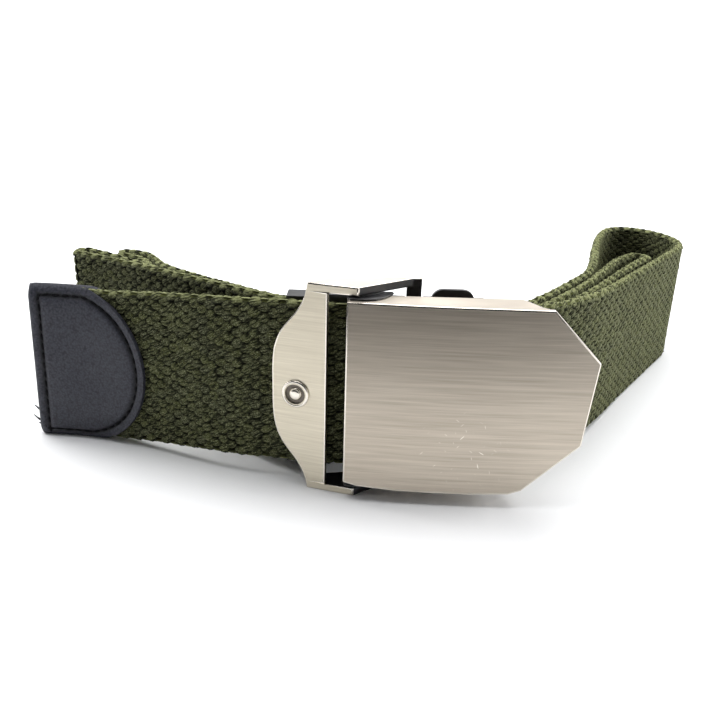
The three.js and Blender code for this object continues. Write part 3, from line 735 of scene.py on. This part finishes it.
def makeWebbing():
    halfUp = Vector((0, 0, webbing["width"] / 2 * millimetre))
    centres = [point + halfUp for point in route]
    sizes = {
        "Web width": (webbing["width"] - (webbing["thickness"] - webbing["coreThickness"])) * millimetre,
        "Core thickness": webbing["coreThickness"] * millimetre,
        "Section corners": webbing["sectionCorners"],
    }
    core = growMesh("webbing_core", pathMesh("core_path", centres), coreTree(), {**sizes, "Cloth": gapCloth})
    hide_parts("webbing_strap")
    pieces = [core]
    shape = floatShape()
    weave = weaveTree()
    columns = int(routeLength / (webbing["floatPitch"] * millimetre)) - 1
    share = math.ceil(columns / webbing["stretches"])
    for i in range(webbing["stretches"]):
        first = i * share
        pieces.append(growMesh(f"webbing_weave_{i + 1}", pathMesh("weave_path", centres), weave, {
            **sizes,
            "First column": first,
            "Columns": min(share, columns - first),
            "Rows": webbing["floatRows"],
            "Float pitch": webbing["floatPitch"] * millimetre,
            "Wander": webbing["wander"] * millimetre,
            "Slant": webbing["slant"],
            "Seed": webbing["seed"] + i,
            "Float shape": shape,
            "Cloth": floatCloth,
        }))
    bpy.data.objects.remove(shape)
    for piece in pieces:
        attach(piece, "belt")
    print("webbing woven:", [len(piece.data.polygons) for piece in pieces])


makeWebbing()


# Leather tip
tip = {
    "length": 30.5,
    "straight": 15.5,  # where the D's curve begins
    "height": 39.0,
    "lean": 0.65,  # how far the fold leans: out at its foot, in at its top
    "wall": 0.9,
    "halfThickness": 2.45,
    "pastEnd": 2.25,  # how far the fold stands past the webbing's end
    "foldRadius": 1.3,
    "puff": 0.5,  # how far each face swells inside its stitching, and over what distance
    "puffReach": 1.6,
    "pinch": 1.35,  # how far each face leans in at the upper and lower edge
    "pinchReach": 3.2,
    "grooveDepth": 0.5,
    "grooveWidth": 0.58,
    "inset": {"top": 2.1, "bottom": 1.9, "curve": 2.3, "end": 2.7},  # outline to stitching
    "alongSteps": 84,
    "upSteps": 120,
    "foldSteps": 5,
    "foldGap": 0.2,
    "cutEdge": 0.22,
    "cutAngle": 50.0,  # degrees past which an edge is a cut one
}


def tipCurve():
    half = tip["height"] / 2
    sagitta = tip["length"] - tip["straight"]
    radius = (half ** 2 + sagitta ** 2) / (2 * sagitta)
    return tip["length"] - radius, radius  # the D's centre and its radius


def tipReach(height):  # how far the D goes at a height from its middle
    centre, radius = tipCurve()
    return centre + math.sqrt(max(radius ** 2 - height ** 2, 0.0))


def stitchDepth(along, height):  # millimetres inside the stitching, or negative outside it
    centre, radius = tipCurve()
    half = tip["height"] / 2
    inset = tip["inset"]
    end = inset["end"] + tipFold(height)
    depths = [half - inset["top"] - height, half - inset["bottom"] + height, along - end]
    if along > centre:
        depths.append(radius - inset["curve"] - math.hypot(along - centre, height))
    return min(depths)


def tipRelief(along, height):
    depth = stitchDepth(along, height)
    puff = tip["puff"] * (1 - math.exp(-max(depth, 0.0) / tip["puffReach"]))
    groove = tip["grooveDepth"] * math.exp(-(depth / tip["grooveWidth"]) ** 2)
    edge = max(1 - (tip["height"] / 2 - abs(height)) / tip["pinchReach"], 0.0)
    return puff - groove - tip["pinch"] * edge ** 2


def tipPoint(along, offset, height):  # along from the fold, offset to the belt's front (+) or back (-)
    at, heading = alongRoute(routeLength + (tip["pastEnd"] - along) * millimetre)
    front = Vector((heading.y, -heading.x, 0)) * -1
    spot = at + front * offset * millimetre
    return Vector((spot.x, spot.y, (tip["height"] / 2 + height) * millimetre))


def tipFold(height):  # where the fold stands at a height from the tip's middle
    return tip["lean"] * height / (tip["height"] / 2)


def tipRow(side, height):  # along and offset from the fold's middle to the D's curve, on one side
    flat, radius = tip["halfThickness"], tip["foldRadius"]
    fold = tipFold(height)
    spots = []
    for i in range(tip["foldSteps"] + 1):
        angle = math.pi / 2 * (1 - i / tip["foldSteps"])
        along = fold + radius - radius * math.sin(angle)
        offset = max(flat - radius + radius * math.cos(angle) + tipRelief(along, height), tip["foldGap"])
        spots.append((along, side * offset))
    start = fold + radius
    for i in range(1, tip["alongSteps"] + 1):
        along = start + (tipReach(height) - start) * i / tip["alongSteps"]
        spots.append((along, side * (flat + tipRelief(along, height))))
    return spots


def leatherWall():
    half = tip["height"] / 2
    columns = tip["upSteps"] + 1
    vertices = []
    grooveShade = []
    for i in range(columns):
        height = half * (2 * i / tip["upSteps"] - 1)
        back, front = tipRow(-1, height), tipRow(1, height)
        for along, offset in list(reversed(back)) + front:
            vertices.append(tipPoint(along, offset, height))
            grooveShade.append(math.exp(-(stitchDepth(along, height) / tip["grooveWidth"]) ** 2))
    rows = len(vertices) // columns
    faces = []
    for i in range(columns - 1):
        for j in range(rows - 1):
            a = i * rows + j
            faces.append((a, a + 1, a + rows + 1, a + rows))
    mesh = bpy.data.meshes.new("tip_leather")
    mesh.from_pydata(vertices, [], faces)
    mesh.shade_smooth()
    groove = mesh.attributes.new("groove", "FLOAT", "POINT")
    for i, value in enumerate(grooveShade):
        groove.data[i].value = value
    wall = link(bpy.data.objects.new("tip_leather", mesh))
    wall.data.materials.append(tipLeather)
    thicken = wall.modifiers.new("thickness", "SOLIDIFY")
    thicken.thickness = tip["wall"] * millimetre
    thicken.offset = -1.0
    soften = wall.modifiers.new("cut edge", "BEVEL")
    soften.width = tip["cutEdge"] * millimetre
    soften.segments = 2
    soften.limit_method = "ANGLE"
    soften.angle_limit = math.radians(tip["cutAngle"])
    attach(wall, "belt")
    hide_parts("leather_tip")


stitching = {
    "pitch": 2.4,
    "length": 2.0,
    "width": 0.72,
    "sink": -0.06,  # below the leather, so a negative one stands proud
    "sizes": (0.88, 1.08),
    "sides": 8,
    "rings": 6,
    "pathSteps": 40,  # round the D
    "pathStep": 1.0,  # between the points that follow the leather
    "seed": 3,
}


def stitchOutline():  # the closed D that the stitching follows: along and height
    centre, radius = tipCurve()
    half = tip["height"] / 2
    inset = tip["inset"]
    radius -= inset["curve"]
    top, bottom = half - inset["top"], inset["bottom"] - half
    start, finish = math.asin(bottom / radius), math.asin(top / radius)
    foot, head = (inset["end"] + tipFold(bottom), bottom), (inset["end"] + tipFold(top), top)
    points = [foot]
    for i in range(stitching["pathSteps"] + 1):
        angle = start + (finish - start) * i / stitching["pathSteps"]
        points.append((centre + radius * math.cos(angle), radius * math.sin(angle)))
    points += [head, foot]
    dense = []
    for (x0, y0), (x1, y1) in zip(points, points[1:]):
        steps = max(1, round(math.hypot(x1 - x0, y1 - y0) / stitching["pathStep"]))
        dense += [(x0 + (x1 - x0) * i / steps, y0 + (y1 - y0) * i / steps) for i in range(steps)]
    return dense + [points[-1]]


def stitchTree():
    tree, sockets = startTree("stitches", [
        ("Pitch", "Float"), ("Seed", "Int"), ("Stitch", "Object"), ("Thread", "Material"),
    ])
    path = addNode(tree, "GeometryNodeMeshToCurve", {0: sockets["Geometry"]})[0]
    spaced = addNode(
        tree, "GeometryNodeResampleCurve", {"Curve": path, "Length": sockets["Pitch"]}, mode="LENGTH",
    )[0]
    facing = addNode(
        tree, "GeometryNodeInputNamedAttribute", {"Name": "facing"}, data_type="FLOAT_VECTOR",
    )[0]
    tangent = addNode(tree, "GeometryNodeInputTangent")[0]
    turn = turnTo(tree, facing, tangent)
    least, most = stitching["sizes"]
    size = addNode(
        tree, "FunctionNodeRandomValue", {2: least, 3: most, "Seed": sockets["Seed"]}, data_type="FLOAT",
    )[1]
    stitches = copies(tree, spaced, sockets["Stitch"], turn, size)
    return finishTree(tree, stitches, sockets["Thread"])


def stitchShape():  # one stitch: a short round-ended length of thread
    shell = bmesh.new()
    sides, rings = stitching["sides"], stitching["rings"]
    bmesh.ops.create_uvsphere(shell, u_segments=sides, v_segments=rings, radius=0.5)
    size = [stitching[key] * millimetre for key in ("length", "width", "width")]
    turn = Matrix.Rotation(math.radians(90), 4, "Y")
    bmesh.ops.transform(shell, verts=shell.verts, matrix=Matrix.Diagonal((*size, 1.0)) @ turn)
    return link(bpy.data.objects.new("one_stitch", meshFrom(shell, "one_stitch")))


def makeStitches():
    shape = stitchShape()
    tree = stitchTree()
    for side, name in ((1, "front"), (-1, "back")):
        points = []
        facings = []
        for along, height in stitchOutline():
            offset = tip["halfThickness"] + tipRelief(along, height) - stitching["sink"]
            points.append(tipPoint(along, side * offset, height))
            beyond = tipPoint(along, side * (offset + 1), height)
            facings.append((beyond - points[-1]).normalized())
        path = pathMesh("stitch_path", points)
        facing = path.attributes.new("facing", "FLOAT_VECTOR", "POINT")
        for i, value in enumerate(facings):
            facing.data[i].vector = value
        row = growMesh("tip_stitches_" + name, path, tree, {
            "Pitch": stitching["pitch"] * millimetre,
            "Seed": stitching["seed"] + side,
            "Stitch": shape,
            "Thread": thread,
        })
        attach(row, "belt")
    bpy.data.objects.remove(shape)


# Three thread ends that stick out at the tip's lower corner
looseThreads = {
    "radius": 0.32,
    "sides": 6,
    "steps": 8,
    "root": 1.4,  # how far inside the fold each one starts
    "rootDepth": 0.9,  # its start, as a share of the way out to the front face
    "taper": 0.6,
    "taperPower": 3,
    "ends": [  # height on the fold, reach past it, rise and bend of the free end, all in millimetres
        {"height": 5.2, "reach": 2.2, "rise": 2.1, "bend": 0.3},
        {"height": 3.6, "reach": 2.7, "rise": 1.0, "bend": -0.3},
        {"height": 2.6, "reach": 1.6, "rise": -0.2, "bend": 0.2},
    ],
}


def makeLooseThreads():
    shell = bmesh.new()
    steps, root = looseThreads["steps"], looseThreads["root"]
    for end in looseThreads["ends"]:
        rings = []
        for i in range(steps + 1):
            share = i / steps
            along = root - (end["reach"] + root) * share
            height = end["height"] + end["rise"] * share + end["bend"] * math.sin(math.pi * share)
            offset = tip["halfThickness"] * (1 - share) * looseThreads["rootDepth"]
            centre = tipPoint(along, offset, height - tip["height"] / 2)
            thin = 1 - looseThreads["taper"] * share ** looseThreads["taperPower"]
            radius = looseThreads["radius"] * millimetre * thin
            ring = []
            for k in range(looseThreads["sides"]):
                angle = 2 * math.pi * k / looseThreads["sides"]
                out = Vector((0, math.cos(angle), math.sin(angle)))
                ring.append(shell.verts.new(centre + out * radius))
            rings.append(ring)
        joinRings(shell, rings)
        shell.faces.new(rings[-1])
        shell.faces.new(list(reversed(rings[0])))
    bmesh.ops.recalc_face_normals(shell, faces=shell.faces)
    mesh = meshFrom(shell, "loose_threads", thread)
    strands = link(bpy.data.objects.new("loose_threads", mesh))
    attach(strands, "belt")


leatherWall()
makeStitches()
makeLooseThreads()
print("leather tip made")


# Hard parts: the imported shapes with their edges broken
breaking = {
    "merge": 0.01,  # corners closer than this are one
    "flat": 1.5,  # degrees between faces that are really one
    "sharp": 28.0,  # degrees past which an edge is broken
    "smooth": 24.0,  # degrees up to which neighbours shade as one
    "segments": 2,
    "profile": 0.6,
    "level": 0.9,  # how squarely a level face looks up or down, and how little an upright one does
    "upright": 0.5,
    "inside": 10.0,  # how far from the buckle's middle the inner faces are, at least
}


def blackenInside(mesh, beyond):  # on its upright sides past an x, and on the faces that look inwards
    mesh.materials.append(lacquer)
    middle = webbing["width"] / 2 * millimetre + place(0, 0, webbing["underLid"]).z
    for part in mesh.polygons:
        inward = part.normal.z * (middle - part.center.z)
        level = abs(part.normal.z)
        side = level < breaking["upright"] and part.center.x > beyond
        inner = level > breaking["level"] and inward > breaking["inside"] * millimetre
        if side or (inner and part.material_index == 0):
            part.material_index = 2


def brokenEdges(nodeName, pieceName, body, face, edge, width, keepOut=(), blackBeyond=None):
    shell = bmesh.new()
    shell.from_mesh(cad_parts[nodeName].data)
    bmesh.ops.remove_doubles(shell, verts=shell.verts, dist=breaking["merge"] * millimetre)
    bmesh.ops.dissolve_limit(
        shell, angle_limit=math.radians(breaking["flat"]), verts=shell.verts, edges=shell.edges,
    )
    for part in shell.faces:
        part.material_index = 0
    sharp = []
    for seam in shell.edges:
        near = any((end.co - spot).length < reach for end in seam.verts for spot, reach in keepOut)
        if near or len(seam.link_faces) != 2:
            continue
        if seam.calc_face_angle() > math.radians(breaking["sharp"]):
            sharp.append(seam)
    bmesh.ops.bevel(
        shell, geom=sharp, offset=width * millimetre, offset_type="OFFSET", affect="EDGES", material=1,
        segments=breaking["segments"], profile=breaking["profile"], clamp_overlap=False, loop_slide=True,
    )
    for part in shell.faces:
        part.smooth = True
    for seam in shell.edges:  # the plain faces stay flat right up to their broken edges
        sides = seam.link_faces
        together = len(sides) == 2 and sides[0].material_index == sides[1].material_index
        seam.smooth = together and seam.calc_face_angle() < math.radians(breaking["smooth"])
    mesh = bpy.data.meshes.new(pieceName)
    shell.to_mesh(mesh)
    shell.free()
    mesh.materials.append(face)
    mesh.materials.append(edge)
    if blackBeyond is not None:
        blackenInside(mesh, blackBeyond)
    piece = link(bpy.data.objects.new(pieceName, mesh))
    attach(piece, body)
    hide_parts(nodeName)


buckle = {
    "edgeWidth": 0.3,
    "lidEdgeWidth": 0.34,
    "blackEdgeWidth": 0.15,
    "blackBeyond": 0.6,  # x of the window's right side
    "pinHeights": (0.0, 0.7, 3.2, 4.6, 43.9, 45.3, 47.1, 47.8),  # of every edge round the pin's holes
    "pinReach": 1.6,
    "boss": (-13.69, 0.33, 22.7),  # place on the bar
    "bossFacing": (-0.282, -0.959, 0.0),
    "bossSides": 48,
    "bossReach": 3.6,  # the frame's edges nearer than this stay as they are
    "bossSharp": 40.0,
    "bossRecess": (1.4, 2.34),  # the dark ring between its rim and its middle, as radii
}

# The boss's turned outline: radius and height above the bar
bossOutline = [
    (3.15, -0.2), (3.15, 0.32), (3.0, 0.5), (2.75, 0.58), (2.5, 0.5), (2.36, 0.28), (2.3, 0.06), (1.6, 0.04),
    (1.42, 0.1), (1.3, 0.34), (1.05, 0.52), (0.6, 0.62), (0.0, 0.66),
]


def makeBoss():  # plain ringed boss on the frame's bar
    shell = bmesh.new()
    facing = Vector(buckle["bossFacing"])
    across = Vector((0, 0, 1)).cross(facing).normalized()
    middle = place(*buckle["boss"])
    rings = []
    for radius, rise in bossOutline[:-1]:
        ring = []
        for k in range(buckle["bossSides"]):
            angle = 2 * math.pi * k / buckle["bossSides"]
            reach = across * math.cos(angle) + Vector((0, 0, 1)) * math.sin(angle)
            ring.append(shell.verts.new(middle + (reach * radius + facing * rise) * millimetre))
        rings.append(ring)
    crown = shell.verts.new(middle + facing * bossOutline[-1][1] * millimetre)
    joinRings(shell, rings)
    for k in range(len(rings[-1])):
        shell.faces.new((rings[-1][k], rings[-1][(k + 1) % len(rings[-1])], crown))
    shell.faces.new(list(reversed(rings[0])))
    bmesh.ops.recalc_face_normals(shell, faces=shell.faces)
    mesh = meshFrom(shell, "round_boss", edgeNickel, recessNickel)
    mesh.set_sharp_from_angle(angle=math.radians(buckle["bossSharp"]))
    for part in mesh.polygons:
        away = (part.center - middle).length / millimetre
        part.material_index = int(buckle["bossRecess"][0] < away < buckle["bossRecess"][1])
    boss = link(bpy.data.objects.new("round_boss", mesh))
    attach(boss, "belt")


# Painted shade on the lid's flanges: a black plate on each, shaped to the shade and dark reflection under the
# frame's wall
flangeShade = {
    "outline": [
        (-2.9, -0.9), (-2.9, -3.4), (-2.3, -4.2), (0.6, -4.5), (2.8, -3.9), (4.4, -2.6), (5.6, -0.9),
        (6.6, 1.3), (6.2, 2.1), (4.6, 1.9), (2.2, 1.4), (-1.2, 0.4), (-2.5, -0.1),
    ],
    "rise": 0.42,
    "edge": 0.14,
    "sharp": 50.0,
}


def makeFlangeShade():  # painted shade: black plates on the lid's flanges, where the frame's wall shades them and they reflect its black side
    shell = bmesh.new()
    lidLow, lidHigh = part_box("cover_plate")
    rise = flangeShade["rise"] * millimetre
    for low in (lidHigh[2], lidLow[2] - rise):
        corners = [place(x, y, 0) for x, y in flangeShade["outline"]]
        under = [shell.verts.new((corner.x, corner.y, low)) for corner in corners]
        over = [shell.verts.new((corner.x, corner.y, low + rise)) for corner in corners]
        shell.faces.new(over)
        shell.faces.new(list(reversed(under)))
        for i in range(len(corners)):
            j = (i + 1) % len(corners)
            shell.faces.new((under[i], under[j], over[j], over[i]))
    bmesh.ops.recalc_face_normals(shell, faces=shell.faces)
    bmesh.ops.bevel(
        shell, geom=shell.edges[:], offset=flangeShade["edge"] * millimetre, affect="EDGES",
        segments=breaking["segments"], profile=breaking["profile"],
    )
    mesh = meshFrom(shell, "cam_lugs", lacquer)
    mesh.set_sharp_from_angle(angle=math.radians(flangeShade["sharp"]))
    shadePlates = link(bpy.data.objects.new("cam_lugs", mesh))
    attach(shadePlates, "cover")


# Spots whose edges stay unbroken, and how far from each
pinReach = buckle["pinReach"] * millimetre
pinEnds = [(Vector((*pinPlan, height * millimetre)), pinReach) for height in buckle["pinHeights"]]
bossSpot = (place(*buckle["boss"]), buckle["bossReach"] * millimetre)

brokenEdges(
    "buckle_frame", "frame_plate", "belt", frameNickel, edgeNickel, buckle["edgeWidth"],
    pinEnds + [bossSpot], place(buckle["blackBeyond"], 0, 0).x,
)
brokenEdges(
    "cover_plate", "lid_plate", "cover", coverNickel, edgeNickel, buckle["lidEdgeWidth"],
    pinEnds,
)
for node, body in (("base_plate", "belt"), ("end_clamp", "belt"), ("cover_cam", "cover")):
    brokenEdges(
        node, node + "_lacquered", body, lacquer, lacquer, buckle["blackEdgeWidth"], pinEnds,
    )
makeBoss()
makeFlangeShade()
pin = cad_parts["hinge_pin"]
pin.data.materials.clear()
pin.data.materials.append(edgeNickel)
print("buckle made")


# Floor, backdrop and light
studio = {
    "centre": (0.0, 0.1),
    "flat": 0.95,  # radius of the level floor
    "bend": 0.35,
    "bendSteps": 12,
    "rise": 0.9,
    "sides": 96,
    "paper": "#F4F4F4",
    "flagAt": (-0.16, -0.26),
    "flagWidth": 0.72,
    "flagHeight": 0.6,
    "flagBlack": "#1A1A1A",
}


def makeBackdrop():  # pale paper that turns up all round
    x0, y0 = studio["centre"]
    profile = []
    flat, bend, bendSteps = studio["flat"], studio["bend"], studio["bendSteps"]
    for i in range(bendSteps + 1):
        angle = math.pi / 2 * i / bendSteps
        profile.append((flat + bend * math.sin(angle), bend - bend * math.cos(angle)))
    profile.append((flat + bend, studio["rise"]))
    sides = studio["sides"]
    vertices = [(x0, y0, 0.0)]
    for radius, height in profile:
        for k in range(sides):
            angle = 2 * math.pi * k / sides
            vertices.append((x0 + radius * math.cos(angle), y0 + radius * math.sin(angle), height))
    faces = [(0, 1 + k, 1 + (k + 1) % sides) for k in range(sides)]
    for i in range(len(profile) - 1):
        for k in range(sides):
            m = (k + 1) % sides
            first, second = 1 + i * sides, 1 + (i + 1) * sides
            faces.append((first + k, second + k, second + m, first + m))
    mesh = bpy.data.meshes.new("paper_cove")
    mesh.from_pydata(vertices, [], faces)
    mesh.shade_smooth()
    material, tree = startMaterial("matt white paper")[:2]
    tone = linearColour(studio["paper"])
    mesh.materials.append(surface(material, tree, {"Base Color": tone, "Roughness": 0.9}))
    link(bpy.data.objects.new("paper_cove", mesh))


def makeFlag():  # black card in front, out of the camera's sight, that darkens what the metal reflects
    x, y = studio["flagAt"]
    half, top = studio["flagWidth"] / 2, studio["flagHeight"]
    mesh = bpy.data.meshes.new("black_flag")
    corners = [(x - half, y, 0), (x + half, y, 0), (x + half, y, top), (x - half, y, top)]
    mesh.from_pydata(corners, [], [(0, 1, 2, 3)])
    material, tree = startMaterial("matt black card")[:2]
    tone = linearColour(studio["flagBlack"])
    mesh.materials.append(surface(material, tree, {"Base Color": tone, "Roughness": 1.0}))
    flag = link(bpy.data.objects.new("black_flag", mesh))
    flag.visible_camera = False
    flag.visible_shadow = False


lights = [
    {"name": "overhead", "at": (0.0, 0.3, 0.95), "aim": (0.0, 0.05, 0.0), "size": 1.3, "power": 18.0},
    {"name": "left_window", "at": (-0.75, 0.4, 0.5), "aim": (0.0, 0.03, 0.02), "size": 0.5, "power": 5.0},
    {"name": "right_window", "at": (0.9, 0.08, 0.34), "aim": (0.02, 0.02, 0.02), "size": 0.5, "power": 4.5},
]
worldTone = {"colour": "#E4EAF4", "strength": 0.46}


def makeLights():
    for lamp in lights:
        data = bpy.data.lights.new(lamp["name"], "AREA")
        data.shape = "SQUARE"
        data.size = lamp["size"]
        data.energy = lamp["power"]
        at, aim = Vector(lamp["at"]), Vector(lamp["aim"])
        light = link(bpy.data.objects.new(lamp["name"], data))
        light.visible_camera = False
        light.matrix_world = Matrix.Translation(at) @ (aim - at).to_track_quat("-Z", "Y").to_matrix().to_4x4()
    world = bpy.data.worlds.new("studio")
    world.use_nodes = True
    sky = world.node_tree.nodes["Background"]
    sky.inputs["Color"].default_value = linearColour(worldTone["colour"])
    sky.inputs["Strength"].default_value = worldTone["strength"]
    bpy.context.scene.world = world
    bpy.context.scene.view_settings.view_transform = "Standard"


makeBackdrop()
makeFlag()
makeLights()
print("stage lit")
